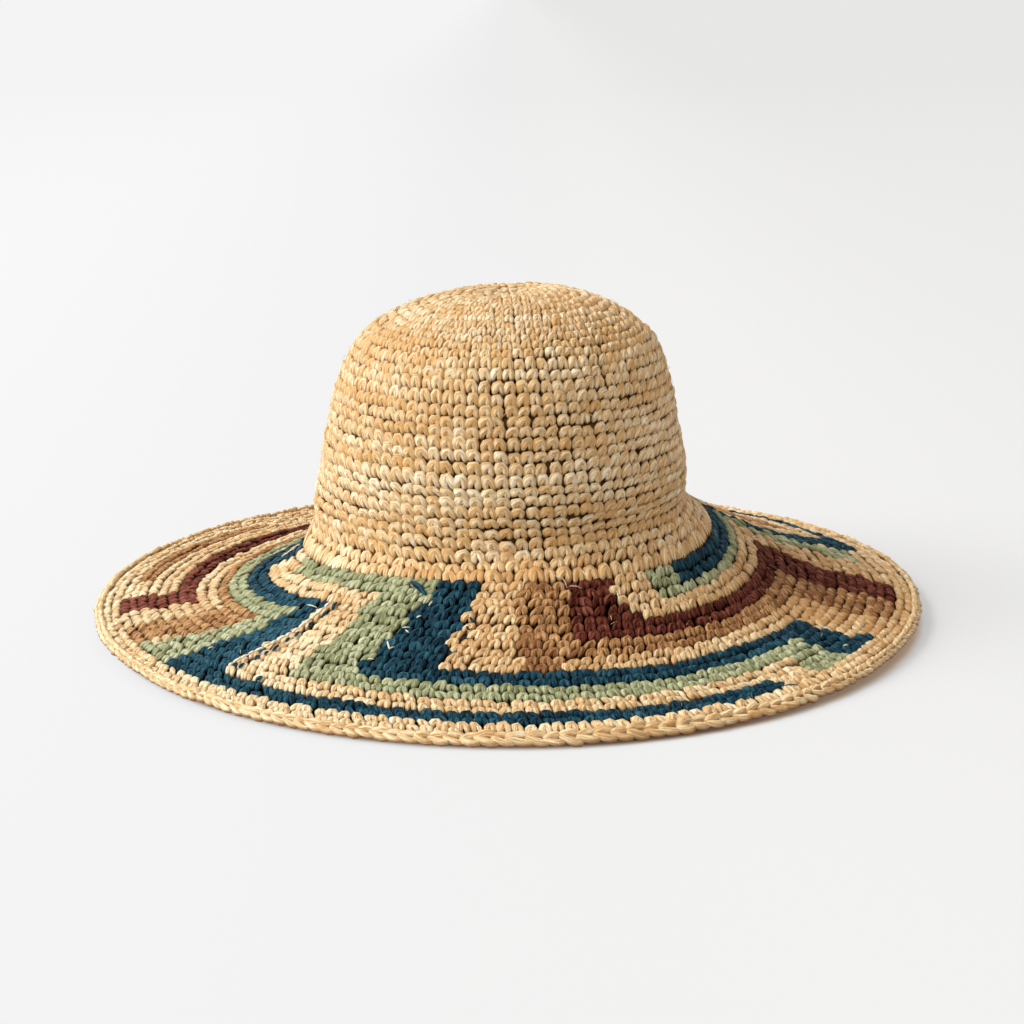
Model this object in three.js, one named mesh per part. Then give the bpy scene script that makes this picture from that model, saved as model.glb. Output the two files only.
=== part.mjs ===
import * as THREE from 'three';
import { mergeVertices } from 'three/addons/utils/BufferGeometryUtils.js';

// A wide-brimmed cloche hat, crocheted in the round from raffia straw: a domed crown,
// a waved brim that sags away from it, and a thick rolled edge. Millimetres, +Z up.
// The hat rests on z = 0 with its front towards -Y. Seen from the front, its left side
// is towards -X. All three parts follow one line, worked out for each direction round
// the head, from the top of the crown down to the middle of the rolled edge.

// Driving dimensions
const WALL = 3;
const SEAM = 0.3;
const EDGE_RADIUS = 3;
const CROWN_MIDDLE_HEIGHT = 55;
const CROWN_TOP_REACH = 102.5;
const THROAT_LEFT = 98;
const THROAT_RIGHT = 94;
const BRIM_WIDTH_LEFT = 121;
const BRIM_WIDTH_RIGHT = 124.5;

// How finely the solids are cut
const DIRECTIONS = 72;
const STEPS_PER_STRETCH = 2;
const EDGE_SIDES = 8;

// The crown, from its top down. Tilt is the angle above level, in degrees, seen from the
// crown's middle point; left and right are the reaches from that point to the straw.
const CROWN_ROWS = [
  { tilt: 90, left: CROWN_TOP_REACH, right: CROWN_TOP_REACH },
  { tilt: 75, left: 105.5, right: 107.5 },
  { tilt: 60, left: 109, right: 109.5 },
  { tilt: 48, left: 110, right: 108 },
  { tilt: 36, left: 104.5, right: 99 },
  { tilt: 24, left: 98.5, right: 92 },
  { tilt: 12, left: 96, right: 90 },
  { tilt: 0, left: 97.5, right: 88 },
];

// The brim's waves. Azimuth is in degrees from the front, growing towards the right. The
// other columns are the straw's height on the way from the throat out to the edge.
const BRIM_ROWS = [
  { azimuth: -180, throat: 46, eighth: 38, quarter: 30, half: 16.5, threeQuarters: 6.5, edge: 3 },
  { azimuth: -150, throat: 45, eighth: 33, quarter: 23, half: 11, threeQuarters: 5, edge: 3 },
  { azimuth: -120, throat: 44, eighth: 30, quarter: 19, half: 9.5, threeQuarters: 8, edge: 5.5 },
  { azimuth: -90, throat: 44, eighth: 30.5, quarter: 20.5, half: 12, threeQuarters: 11, edge: 7.5 },
  { azimuth: -60, throat: 44.5, eighth: 34, quarter: 26.5, half: 17.5, threeQuarters: 13, edge: 6.5 },
  { azimuth: -30, throat: 46, eighth: 39, quarter: 33, half: 22, threeQuarters: 13, edge: 4 },
  { azimuth: 0, throat: 47.5, eighth: 40.5, quarter: 34, half: 21, threeQuarters: 11, edge: 3 },
  { azimuth: 30, throat: 49, eighth: 38.5, quarter: 30, half: 17, threeQuarters: 9, edge: 3 },
  { azimuth: 60, throat: 49.5, eighth: 37.5, quarter: 28, half: 15.5, threeQuarters: 10.5, edge: 6 },
  { azimuth: 90, throat: 50, eighth: 38.5, quarter: 29.5, half: 17.5, threeQuarters: 12.5, edge: 7.5 },
  { azimuth: 120, throat: 49, eighth: 41, quarter: 34, half: 21, threeQuarters: 11.5, edge: 5.5 },
  { azimuth: 150, throat: 48, eighth: 41.5, quarter: 35, half: 21, threeQuarters: 9.5, edge: 3 },
];
const AZIMUTH_STEP = 360 / BRIM_ROWS.length;

// Each column's share of the brim's width beyond the column before it
const BRIM_SHARES = { eighth: 1 / 8, quarter: 1 / 8, half: 1 / 4, threeQuarters: 1 / 4, edge: 1 / 4 };

// Places on a straw line, counted in the stretches between its points
const TOP = 0;
const THROAT = CROWN_ROWS.length;
const EDGE = THROAT + Object.keys(BRIM_SHARES).length;

const radians = THREE.MathUtils.degToRad;
const mix = THREE.MathUtils.lerp;

// One column of the brim's table, carried round the whole hat as a smooth curve through
// the four rows nearest the azimuth (a Catmull-Rom spline)
function brimHeight(column, azimuth) {
  const place = (azimuth - BRIM_ROWS[0].azimuth) / AZIMUTH_STEP;
  const row = Math.floor(place);
  const [before, from, to, after] = [-1, 0, 1, 2].map((offset) => {
    const wrapped = (row + offset + BRIM_ROWS.length) % BRIM_ROWS.length;
    return BRIM_ROWS[wrapped][column];
  });
  const along = place - row;
  const bend = 2 * before - 5 * from + 4 * to - after;
  const twist = 3 * (from - to) + after - before;
  return from + 0.5 * along * (to - before + along * (bend + along * twist));
}

// The straw line: the middle of the wall, from the crown's top out to the edge. Its
// points have x as the distance from the hat's axis. The brim keeps its width however
// it sags, and never sags below the height at which its edge lies on the surface.
function strawLine(azimuth) {
  const rightness = (1 + Math.sin(radians(azimuth))) / 2;
  const points = CROWN_ROWS.map(({ tilt, left, right }) => {
    const reach = mix(left, right, rightness);
    const out = tilt === 90 ? 0 : reach * Math.cos(radians(tilt));
    return new THREE.Vector3(out, 0, CROWN_MIDDLE_HEIGHT + reach * Math.sin(radians(tilt)));
  });
  const width = mix(BRIM_WIDTH_LEFT, BRIM_WIDTH_RIGHT, rightness);
  let out = mix(THROAT_LEFT, THROAT_RIGHT, rightness);
  let height = brimHeight('throat', azimuth);
  points.push(new THREE.Vector3(out, 0, height));
  for (const [column, share] of Object.entries(BRIM_SHARES)) {
    const lower = Math.max(brimHeight(column, azimuth), EDGE_RADIUS);
    out += Math.sqrt((share * width) ** 2 - (height - lower) ** 2);
    height = lower;
    points.push(new THREE.Vector3(out, 0, height));
  }
  return new THREE.CatmullRomCurve3(points, false, 'centripetal');
}

// The place that lies a distance short of a point of the line, or past it if negative
function placeShortOf(line, point, distance) {
  const neighbour = line.points[point - Math.sign(distance)];
  return point - distance / line.points[point].distanceTo(neighbour);
}

// The wall between two places: a loop of points along its outer face and back inside
function wallSection(line, first, last) {
  const steps = Math.round((last - first) * STEPS_PER_STRETCH);
  const outer = [];
  const inner = [];
  for (let step = 0; step <= steps; step += 1) {
    const share = mix(first, last, step / steps) / EDGE;
    const middle = line.getPoint(share);
    const tangent = line.getTangent(share);
    const offset = new THREE.Vector3(-tangent.z, 0, tangent.x).multiplyScalar(WALL / 2);
    outer.push(middle.clone().add(offset));
    inner.unshift(middle.clone().sub(offset));
  }
  return [...outer, ...inner];
}

// The crown's section is open on the axis, where its first and last points lie
function crownSection(azimuth) {
  const line = strawLine(azimuth);
  const section = wallSection(line, TOP, placeShortOf(line, THROAT, SEAM / 2));
  section.at(0).set(0, 0, CROWN_MIDDLE_HEIGHT + CROWN_TOP_REACH + WALL / 2);
  section.at(-1).set(0, 0, CROWN_MIDDLE_HEIGHT + CROWN_TOP_REACH - WALL / 2);
  return section;
}

// The brim's outer end is cut upright, a seam's width short of the rolled edge
function brimSection(azimuth) {
  const line = strawLine(azimuth);
  const last = placeShortOf(line, EDGE, EDGE_RADIUS + SEAM);
  const section = wallSection(line, placeShortOf(line, THROAT, -SEAM / 2), last);
  const end = line.points[EDGE].x - EDGE_RADIUS - SEAM;
  const half = section.length / 2;
  section[half - 1].setX(end);
  section[half].setX(end);
  return section;
}

// The rolled edge stands on one of its flat sides
function edgeSection(azimuth) {
  const centre = strawLine(azimuth).points[EDGE];
  const corner = EDGE_RADIUS / Math.cos(Math.PI / EDGE_SIDES);
  return Array.from({ length: EDGE_SIDES }, (_, side) => {
    const angle = (-2 * Math.PI * (side + 0.5)) / EDGE_SIDES;
    return new THREE.Vector3(corner * Math.cos(angle), 0, corner * Math.sin(angle)).add(centre);
  });
}

// A closed solid swept once round the hat. Its section runs clockwise in x and z. An
// open section has both ends on the axis, where all directions share one point.
function sweptRound(sectionAt, { open = false } = {}) {
  const positions = [];
  const triangles = [];
  const count = sectionAt(0).length;
  for (let direction = 0; direction < DIRECTIONS; direction += 1) {
    const azimuth = -180 + (360 * direction) / DIRECTIONS;
    const here = direction * count;
    const next = ((direction + 1) % DIRECTIONS) * count;
    for (const { x, z } of sectionAt(azimuth)) {
      positions.push(x * Math.sin(radians(azimuth)), -x * Math.cos(radians(azimuth)), z);
    }
    for (let side = 0; side < (open ? count - 1 : count); side += 1) {
      const after = (side + 1) % count;
      if (!open || after < count - 1) triangles.push(here + side, here + after, next + after);
      if (!open || side > 0) triangles.push(here + side, next + after, next + side);
    }
  }
  const geometry = new THREE.BufferGeometry();
  geometry.setAttribute('position', new THREE.Float32BufferAttribute(positions, 3));
  geometry.setIndex(triangles);
  const solid = mergeVertices(geometry);
  solid.computeVertexNormals();
  return solid;
}

const straw = new THREE.MeshStandardMaterial({ color: 0xcfae7e, roughness: 0.75, metalness: 0 });
const patternedStraw = new THREE.MeshStandardMaterial({ color: 0xa48a6a, roughness: 0.75, metalness: 0 });
const edgeStraw = new THREE.MeshStandardMaterial({ color: 0xc9a675, roughness: 0.8, metalness: 0 });

const crown = new THREE.Mesh(sweptRound(crownSection, { open: true }), straw);
crown.name = 'crown';

const brim = new THREE.Mesh(sweptRound(brimSection), patternedStraw);
brim.name = 'brim';

const rolledEdge = new THREE.Mesh(sweptRound(edgeSection), edgeStraw);
rolledEdge.name = 'rolled_edge';

const hat = new THREE.Group();
hat.add(crown, brim, rolledEdge);

export default hat;
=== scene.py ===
# %% [markdown]
# # A crocheted straw hat, stitch by stitch
# The hat is worked in raffia: soft straw from a palm leaf, rolled into a strand and
# crocheted round and round from a small ring at the top of the crown. The crown is
# plain. The brim changes yarn in steps, which draws a fret in navy, green, tan and
# brown, and a thicker braided round finishes its edge.
#
# This lesson loads the plain solids of the hat as a frame and covers them with real
# stitches. One stitch is modelled and copied some six thousand times, because
# the light on the little arches, and the dark between them, is what makes straw look
# like straw.

import math

import bpy
import numpy as np
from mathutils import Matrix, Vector


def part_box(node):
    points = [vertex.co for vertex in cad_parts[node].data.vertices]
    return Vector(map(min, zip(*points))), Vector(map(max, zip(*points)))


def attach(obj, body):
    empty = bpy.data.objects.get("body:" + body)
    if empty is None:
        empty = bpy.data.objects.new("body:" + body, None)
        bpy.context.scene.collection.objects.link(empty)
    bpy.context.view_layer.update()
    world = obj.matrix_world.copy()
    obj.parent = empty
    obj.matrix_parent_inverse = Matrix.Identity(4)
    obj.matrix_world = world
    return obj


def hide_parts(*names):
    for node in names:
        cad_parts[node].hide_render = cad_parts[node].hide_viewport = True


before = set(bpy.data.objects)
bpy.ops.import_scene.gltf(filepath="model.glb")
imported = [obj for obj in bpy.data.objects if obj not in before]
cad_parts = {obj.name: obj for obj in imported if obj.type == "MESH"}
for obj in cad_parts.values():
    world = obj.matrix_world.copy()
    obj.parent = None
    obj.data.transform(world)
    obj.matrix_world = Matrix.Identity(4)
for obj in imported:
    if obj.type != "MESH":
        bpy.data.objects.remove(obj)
bpy.ops.object.select_all(action="DESELECT")
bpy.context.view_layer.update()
MM = 0.001
for solid in ("crown", "brim", "rolled_edge"):
    low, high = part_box(solid)
    print(solid, "from", [round(x / MM, 1) for x in low], "to", [round(x / MM, 1) for x in high], "mm")

# %% [markdown]
# ## The camera
# The photo looks down on the hat by about 15 degrees from a metre away. The camera could
# be placed by eye, but a small error in its height would change every curve of the brim.
# So these values were found by laying the solids' outline over the photo's.

# %% Camera
CAMERA_TILT = math.radians(14.912)
CAMERA_DISTANCE = 1.0192
LOOKED_AT = Vector((1.45, 0.0, 46.17)) * MM
towards_camera = Vector((0, -math.cos(CAMERA_TILT), math.sin(CAMERA_TILT)))
bpy.ops.object.camera_add(
    location=LOOKED_AT + CAMERA_DISTANCE * towards_camera,
    rotation=(math.radians(90) - CAMERA_TILT, 0, 0),
)
camera = bpy.context.object
camera.name = "camera"
camera.data.lens = 70.3125
camera.data.sensor_width = 36
bpy.context.scene.camera = camera
print("camera at", [round(x, 4) for x in camera.location])

# %% [markdown]
# ## The straw line
# Every stitch lies on the same surface as the solids. It could be found by measuring
# their meshes, but those are faceted. So it is drawn afresh from the solids' own values,
# as one line for each direction round the head: down the crown, through the throat where
# the brim begins, and out to the edge. The tables below are in millimetres.

# %% The crown's table
CROWN_MIDDLE_HEIGHT = 55
CROWN_TILTS = np.radians([90, 75, 60, 48, 36, 24, 12, 0])
CROWN_REACH_LEFT = np.array([102.5, 105.5, 109, 110, 104.5, 98.5, 96, 97.5])
CROWN_REACH_RIGHT = np.array([102.5, 107.5, 109.5, 108, 99, 92, 90, 88])
THROAT_RADIUS = (98, 94)
print("the crown's reach on the left and right:", CROWN_REACH_LEFT.max(), CROWN_REACH_RIGHT.max(), "mm")

# %% The brim's table
BRIM_WIDTH = (121, 124.5)
EDGE_RADIUS = 3
# The brim's height at the throat, at an eighth, a quarter, half and three quarters of
# its width, and at its edge. There is one row for each step of azimuth, from the back
# round the left.
AZIMUTH_STEP = 30
BRIM_HEIGHTS = np.array([
    [46, 38, 30, 16.5, 6.5, 3],
    [45, 33, 23, 11, 5, 3],
    [44, 30, 19, 9.5, 8, 5.5],
    [44, 30.5, 20.5, 12, 11, 7.5],
    [44.5, 34, 26.5, 17.5, 13, 6.5],
    [46, 39, 33, 22, 13, 4],
    [47.5, 40.5, 34, 21, 11, 3],
    [49, 38.5, 30, 17, 9, 3],
    [49.5, 37.5, 28, 15.5, 10.5, 6],
    [50, 38.5, 29.5, 17.5, 12.5, 7.5],
    [49, 41, 34, 21, 11.5, 5.5],
    [48, 41.5, 35, 21, 9.5, 3],
])
BRIM_SHARES = (1 / 8, 1 / 8, 1 / 4, 1 / 4, 1 / 4)
print("the brim's edge lies between", BRIM_HEIGHTS[:, -1].min(), "and", BRIM_HEIGHTS[:, -1].max(), "mm up")


# %% From the tables to points
def mixed(ends, share):
    """The value between two ends, such as the hat's left and right ones."""
    first, last = ends
    return first + (last - first) * share


def brim_heights(azimuth):
    """The six heights of the brim at each azimuth, in a smooth curve round the hat."""
    place = (azimuth + 180) / AZIMUTH_STEP
    row = np.floor(place).astype(int)
    along = (place - row)[:, None]
    rows = [BRIM_HEIGHTS[(row + k) % len(BRIM_HEIGHTS)] for k in (-1, 0, 1, 2)]
    before, start, end, after = rows
    bend = 2 * before - 5 * start + 4 * end - after
    twist = 3 * (start - end) + after - before
    return start + 0.5 * along * (end - before + along * (bend + along * twist))


def straw_points(azimuth):
    """The line's points at each azimuth: distance from the axis, and height."""
    rightness = (1 + np.sin(np.radians(azimuth))) / 2
    reach = mixed((CROWN_REACH_LEFT, CROWN_REACH_RIGHT), rightness[:, None])
    out = list((reach * np.cos(CROWN_TILTS)).T)
    out[0] = 0 * out[0]
    height = list((CROWN_MIDDLE_HEIGHT + reach * np.sin(CROWN_TILTS)).T)
    sag = brim_heights(azimuth)
    sag[:, 1:] = np.maximum(sag[:, 1:], EDGE_RADIUS)
    width = mixed(BRIM_WIDTH, rightness)
    out.append(mixed(THROAT_RADIUS, rightness))
    height.append(sag[:, 0])
    for column, share in enumerate(BRIM_SHARES):
        drop = sag[:, column] - sag[:, column + 1]
        out.append(out[-1] + np.sqrt((share * width) ** 2 - drop**2))
        height.append(sag[:, column + 1])
    return np.stack([np.stack(out, 1), np.stack(height, 1)], -1)


front = straw_points(np.array([0.0]))[0]
print("in front, the line has", len(front), "points and ends", front[-1, 0].round(1), "mm from the axis")


# %% From points to a smooth line
def knot_distance(start, end):
    """The square root of the distance, which keeps such a curve from looping."""
    return np.sqrt(np.linalg.norm(end - start, axis=2, keepdims=True))


def smooth_line(points, steps):
    """A centripetal Catmull-Rom curve through the points, with steps to each stretch."""
    first = 2 * points[:, :1] - points[:, 1:2]
    last = 2 * points[:, -1:] - points[:, -2:-1]
    points = np.concatenate([first, points, last], 1)
    share = np.arange(steps)[None, :, None] / steps
    stretches = []
    for k in range(points.shape[1] - 3):
        a, b, c, d = (points[:, k + j][:, None, :] for j in range(4))
        ab, bc, cd = (knot_distance(*ends) for ends in ((a, b), (b, c), (c, d)))
        leave = ((b - a) / ab - (c - a) / (ab + bc) + (c - b) / bc) * bc
        arrive = ((c - b) / bc - (d - b) / (bc + cd) + (d - c) / cd) * bc
        bend = -3 * b + 3 * c - 2 * leave - arrive
        twist = 2 * b - 2 * c + leave + arrive
        stretches.append(b + share * (leave + share * (bend + share * twist)))
    stretches.append(points[:, -2:-1])
    return np.concatenate(stretches, 1)


# How many steps each stretch of a line has, and how many lines go round the hat
STEPS = 24
COLUMNS = 720
azimuths = np.linspace(-180, 180, COLUMNS + 1)
lines = smooth_line(straw_points(azimuths), STEPS)
print(len(lines), "lines round the hat, of", lines.shape[1], "points each")

# %% [markdown]
# ## A map of the surface
# A place on the straw has two numbers: its azimuth in degrees (0 at the front, 90 at the
# right) and its way down, which is 0 at the top of the crown, 1 at the throat and 2 at
# the edge. The map is a grid of positions and normals. Anything drawn flat can then be
# laid on the hat by looking its points up, and it bends with the straw. A Shrinkwrap
# modifier could lay it on too, but it wouldn't keep the stitches' sizes along the rounds.

# %% The surface map
# How many rows the map has from the top to the throat, and again from there to the edge
ROWS = 240
throat = len(CROWN_TILTS) * STEPS


def evenly(line, count):
    """A line's length and the same line with points at even distances."""
    steps = np.linalg.norm(np.diff(line, axis=0), axis=1)
    arc = np.concatenate([[0], np.cumsum(steps)])
    wanted = np.linspace(0, arc[-1], count)
    return arc[-1], np.stack([np.interp(wanted, arc, line[:, k]) for k in (0, 1)], 1)


crown_parts = [evenly(line[: throat + 1], ROWS + 1) for line in lines]
brim_parts = [evenly(line[throat:], ROWS + 1) for line in lines]
crown_length = np.array([length for length, _ in crown_parts])
brim_length = np.array([length for length, _ in brim_parts])
print("crown line", crown_length.min().round(1), "to", crown_length.max().round(1), "mm")
print("brim line", brim_length.min().round(1), "to", brim_length.max().round(1), "mm")

# %% Positions and normals
even = np.stack([np.concatenate([c, b[1:]]) for (_, c), (_, b) in zip(crown_parts, brim_parts)])
turn = np.radians(azimuths)[:, None]
surface = np.stack([even[..., 0] * np.sin(turn), -even[..., 0] * np.cos(turn), even[..., 1]], -1)
down = np.gradient(surface, axis=1)
over_seam = surface[1:2] - surface[-2:-1]
around = np.concatenate([over_seam, surface[2:] - surface[:-2], over_seam])
# All directions share the crown's top, so there the way round comes from the azimuth
around[:, 0] = np.stack([np.cos(turn), np.sin(turn), 0 * turn], -1)[:, 0]
normals = np.cross(down, around)
normals /= np.linalg.norm(normals, axis=2, keepdims=True)
print("the map has", surface.shape[0], "by", surface.shape[1], "places")


# %% Look places up
def looked_up(table, azimuth, way):
    """The table's value at any azimuth and way down, mixed from its four neighbours."""
    column = (np.asarray(azimuth, float) + 180) % 360 / 360 * COLUMNS
    row = np.clip(way, 0, 2) * ROWS
    left = np.minimum(column.astype(int), COLUMNS - 1)
    above = np.minimum(row.astype(int), 2 * ROWS - 1)
    across, below = (column - left)[..., None], (row - above)[..., None]
    upper = table[left, above] * (1 - across) + table[left + 1, above] * across
    lower = table[left, above + 1] * (1 - across) + table[left + 1, above + 1] * across
    return upper * (1 - below) + lower * below


def on_straw(azimuth, way, depth):
    """Positions in mm, depth mm out of the middle of the straw."""
    way = np.asarray(way, float)
    outward = looked_up(normals, azimuth, way) * np.asarray(depth)[..., None]
    return looked_up(surface, azimuth, way) + outward


def radius_at(azimuth, way):
    """The distance from the hat's axis, in mm."""
    return looked_up(even[..., :1], azimuth, way)[..., 0]


def moved_up(azimuth, way, distance):
    """The way down after a move of some mm up towards the top of the crown."""
    crown = np.interp(azimuth, azimuths, crown_length)[..., None]
    brim = np.interp(azimuth, azimuths, brim_length)[..., None]
    arc = np.where(way < 1, way * crown, crown + (way - 1) * brim) - distance
    return np.where(arc < crown, arc / crown, 1 + (arc - crown) / brim)


# One unit of the way down in mm, on the crown, on the brim and on both, where a mean will do
CROWN_UNIT = 172
BRIM_UNIT = 122.7
STRAW_UNIT = 150
print("the rim's front is", radius_at(0, 2).round(1), "mm from the axis")

# %% [markdown]
# ## One stitch
# Seen from outside, a single crochet stitch is a small arch: the strand rises out of the
# row below, turns over and dives back beside itself, and the next row hides its feet.
# A curve with a round bevel would do, but here the strand is drawn from listed points. A ring of
# seven corners is extruded from point to point, turned with the path and resized, so it
# is plump at the top and thin at the feet. Four forms of the same build, an arch, a fat
# bean, a leaning comma and a pair of ovals, can be mixed, so no two come out alike.


# %% The strand tool
def strand(name, path, widths, sides):
    """A closed tube of straw along a path, as wide at each point as widths says."""
    path = [Vector(point) for point in path]
    heading = path[1] - path[0]
    bpy.ops.object.select_all(action="DESELECT")
    bpy.ops.mesh.primitive_circle_add(
        vertices=sides,
        radius=widths[0] / 2,
        location=path[0],
        rotation=heading.to_track_quat("Z", "Y").to_euler(),
    )
    tube = bpy.context.object
    tube.name = name
    bpy.ops.object.transform_apply(location=True, rotation=True, scale=True)
    bpy.ops.object.mode_set(mode="EDIT")
    bpy.ops.mesh.select_all(action="SELECT")
    for k in range(1, len(path)):
        bpy.ops.mesh.extrude_region_move(TRANSFORM_OT_translate={"value": path[k] - path[k - 1]})
        onward = path[min(k + 1, len(path) - 1)] - path[k - 1]
        turns = heading.rotation_difference(onward).to_euler("XYZ")
        # With no window open, this operator turns the other way, hence the minus sign
        for axis, angle in zip("XYZ", turns):
            bpy.ops.transform.rotate(value=-angle, orient_axis=axis, center_override=path[k])
        bpy.ops.transform.resize(value=(widths[k] / widths[k - 1],) * 3, center_override=path[k])
        heading = onward
    bpy.ops.mesh.select_all(action="SELECT")
    bpy.ops.mesh.fill_holes(sides=sides)
    bpy.ops.mesh.select_all(action="SELECT")
    bpy.ops.mesh.normals_make_consistent(inside=False)
    bpy.ops.object.mode_set(mode="OBJECT")
    return tube


def taken_off(tube):
    """A model's corners and faces as arrays. The model itself isn't kept in the scene."""
    corners = np.array([vertex.co for vertex in tube.data.vertices])
    # Extruding lists the faces in another order each time, so they are sorted
    faces = sorted(list(face.vertices) for face in tube.data.polygons)
    bpy.data.objects.remove(tube)
    return corners, faces


# %% Four forms of the stitch, in mm: sideways, up towards the crown's top, and outwards
STITCH_WIDTH = 5.8
STITCH_HEIGHT = 5.75
STITCH_SIDES = 7
ARCH = [
    (-1.3, -3.7, -1.0), (-1.5, -1.9, 0.5), (-1.3, 0.1, 1.5), (-0.5, 1.6, 2.0),
    (0.7, 1.9, 2.0), (1.4, 0.4, 1.6), (1.6, -1.8, 0.8), (1.5, -4.0, -1.0),
]
ARCH_WIDTHS = [1.9, 2.5, 3.4, 4.0, 4.0, 3.4, 2.6, 1.9]
BEAN = [
    (-1.7, -2.5, -0.3), (-1.6, -1.4, 0.7), (-1.1, 0.0, 1.7), (-0.2, 1.2, 2.1),
    (0.8, 1.7, 2.1), (1.5, 0.5, 1.8), (1.6, -1.6, 0.9), (1.4, -4.0, -1.0),
]
BEAN_WIDTHS = [1.8, 2.8, 4.0, 4.4, 4.3, 3.8, 2.7, 1.9]
COMMA = [
    (-1.5, -3.0, -0.7), (-1.7, -1.5, 0.5), (-1.3, 0.2, 1.6), (-0.2, 1.5, 2.0),
    (1.1, 2.2, 2.0), (1.7, 0.6, 1.7), (1.5, -1.6, 0.9), (1.2, -4.0, -1.0),
]
COMMA_WIDTHS = [1.7, 2.5, 3.6, 4.1, 4.0, 3.5, 2.7, 1.9]
PAIR = [
    (-1.3, -3.5, -0.5), (-1.5, -1.8, 1.1), (-1.45, 0.4, 2.1), (-0.8, 2.0, 1.0),
    (0.8, 2.2, 1.0), (1.45, 0.5, 2.1), (1.5, -1.7, 1.1), (1.3, -3.6, -0.5),
]
PAIR_WIDTHS = [1.7, 2.8, 3.3, 2.5, 2.5, 3.3, 2.8, 1.7]

drawings = ((ARCH, ARCH_WIDTHS), (BEAN, BEAN_WIDTHS), (COMMA, COMMA_WIDTHS), (PAIR, PAIR_WIDTHS))
models = [taken_off(strand("stitch", path, widths, STITCH_SIDES)) for path, widths in drawings]
stitch_forms = np.stack([corners for corners, _ in models])
stitch_faces = models[0][1]
print("one stitch has", len(stitch_forms[0]), "corners and", len(stitch_faces), "faces")

# %% [markdown]
# ## Copying the stitch
# Thousands of separate objects would be slow, so the copies of one yarn become one mesh,
# put together from arrays. Three attributes go with it, and the materials read them:
# the place along and across the strand, for the fibres; a tone, for how light or dark
# this bit of yarn is, with painted light and painted shade in some patches; and a lift,
# which tells the proud top of an arch from its feet, so that shade is painted on the feet.


# %% Join many copies into one mesh
def joined(name, corners, faces, attributes):
    """One mesh of many copies: corners is an array (copy, corner, 3) in mm."""
    copies, each = corners.shape[:2]
    copy = np.arange(copies)[:, None]
    loops = np.concatenate([np.array(face) for face in faces])
    sizes = np.array([len(face) for face in faces])
    starts = np.concatenate([[0], np.cumsum(sizes)[:-1]])
    mesh = bpy.data.meshes.new(name)
    mesh.vertices.add(copies * each)
    mesh.vertices.foreach_set("co", (corners * MM).astype(np.float32).ravel())
    mesh.loops.add(copies * len(loops))
    mesh.loops.foreach_set("vertex_index", (loops + each * copy).astype(np.int32).ravel())
    mesh.polygons.add(copies * len(faces))
    mesh.polygons.foreach_set("loop_start", (starts + len(loops) * copy).astype(np.int32).ravel())
    for attribute, values in attributes.items():
        kind, field = ("FLOAT", "value") if values.ndim == 2 else ("FLOAT_VECTOR", "vector")
        layer = mesh.attributes.new(attribute, kind, "POINT")
        layer.data.foreach_set(field, values.astype(np.float32).ravel())
    mesh.update(calc_edges=True)
    mesh.validate()
    piece = bpy.data.objects.new(name, mesh)
    bpy.context.scene.collection.objects.link(piece)
    bpy.ops.object.select_all(action="DESELECT")
    piece.select_set(True)
    bpy.context.view_layer.objects.active = piece
    bpy.ops.object.shade_smooth()
    print(name, "has", copies, "copies and", sum(sizes - 2) * copies, "triangles")
    return piece


def on_strand(corner_count, sides, across, through, spacing):
    """Each corner's place on its strand in mm: two numbers across it, and one along it."""
    side = np.arange(corner_count) % sides * 2 * math.pi / sides
    along = np.arange(corner_count) // sides * spacing
    return np.stack([across * np.cos(side), through * np.sin(side), along], -1)


def same_for_each(values, corner_count):
    """One value for each copy, repeated for the copy's corners."""
    return np.repeat(values[:, None], corner_count, 1)


# %% [markdown]
# ## The rounds of the crown
# The crown is one long spiral of 33 rounds. Each round near its top has seven stitches
# more than the one before, as in any flat disc of crochet, until 87 fit round the head.
# From there down no stitch is added, so the stitches only grow wider with the crown, and
# they lie in columns. Some rounds were pulled tighter than others: the table says where
# each one begins, in parts of the crown's line. The spiral flattens towards the throat,
# because the brim's rounds are closed rings.

# %% Where the crown's stitches go
CROWN_EDGES = np.array([
    0, 0.029, 0.058, 0.087, 0.116, 0.145, 0.175, 0.207, 0.238, 0.267, 0.298, 0.33,
    0.358, 0.387, 0.415, 0.445, 0.479, 0.509, 0.542, 0.576, 0.607, 0.636, 0.666, 0.7,
    0.73, 0.763, 0.799, 0.824, 0.852, 0.883, 0.909, 0.936, 0.967, 1,
])
CROWN_ROUNDS = len(CROWN_EDGES) - 1
STITCHES_ADDED = 7
FEWEST_STITCHES = 6
MOST_STITCHES = 87
FLATTENED_ROUNDS = 4
SPIRAL_DRIFT = 0.06


def crown_count(number):
    """How many stitches a round of the crown has."""
    return min(MOST_STITCHES, max(FEWEST_STITCHES, round(STITCHES_ADDED * (number + 0.5))))


def spiral_round(number):
    """Places, widths in degrees and heights in mm of the stitches in one round of the crown."""
    count = crown_count(number)
    along = (np.arange(count) + 0.5) / count
    fall = min(1, max(0, (CROWN_ROUNDS - 1 - number) / FLATTENED_ROUNDS))
    azimuth = -180 + 360 * (along + SPIRAL_DRIFT * number / count)
    place = number + 0.5 + fall * (along - 0.5)
    way = np.interp(place, np.arange(CROWN_ROUNDS + 1), CROWN_EDGES)
    height = np.diff(CROWN_EDGES)[number] * crown_length.mean()
    return azimuth, way, np.full(count, 360 / count), np.full(count, height)


crown_stitches = [np.concatenate(parts) for parts in zip(*map(spiral_round, range(CROWN_ROUNDS)))]
print("the crown has", CROWN_ROUNDS, "rounds and", len(crown_stitches[0]), "stitches")

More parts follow.
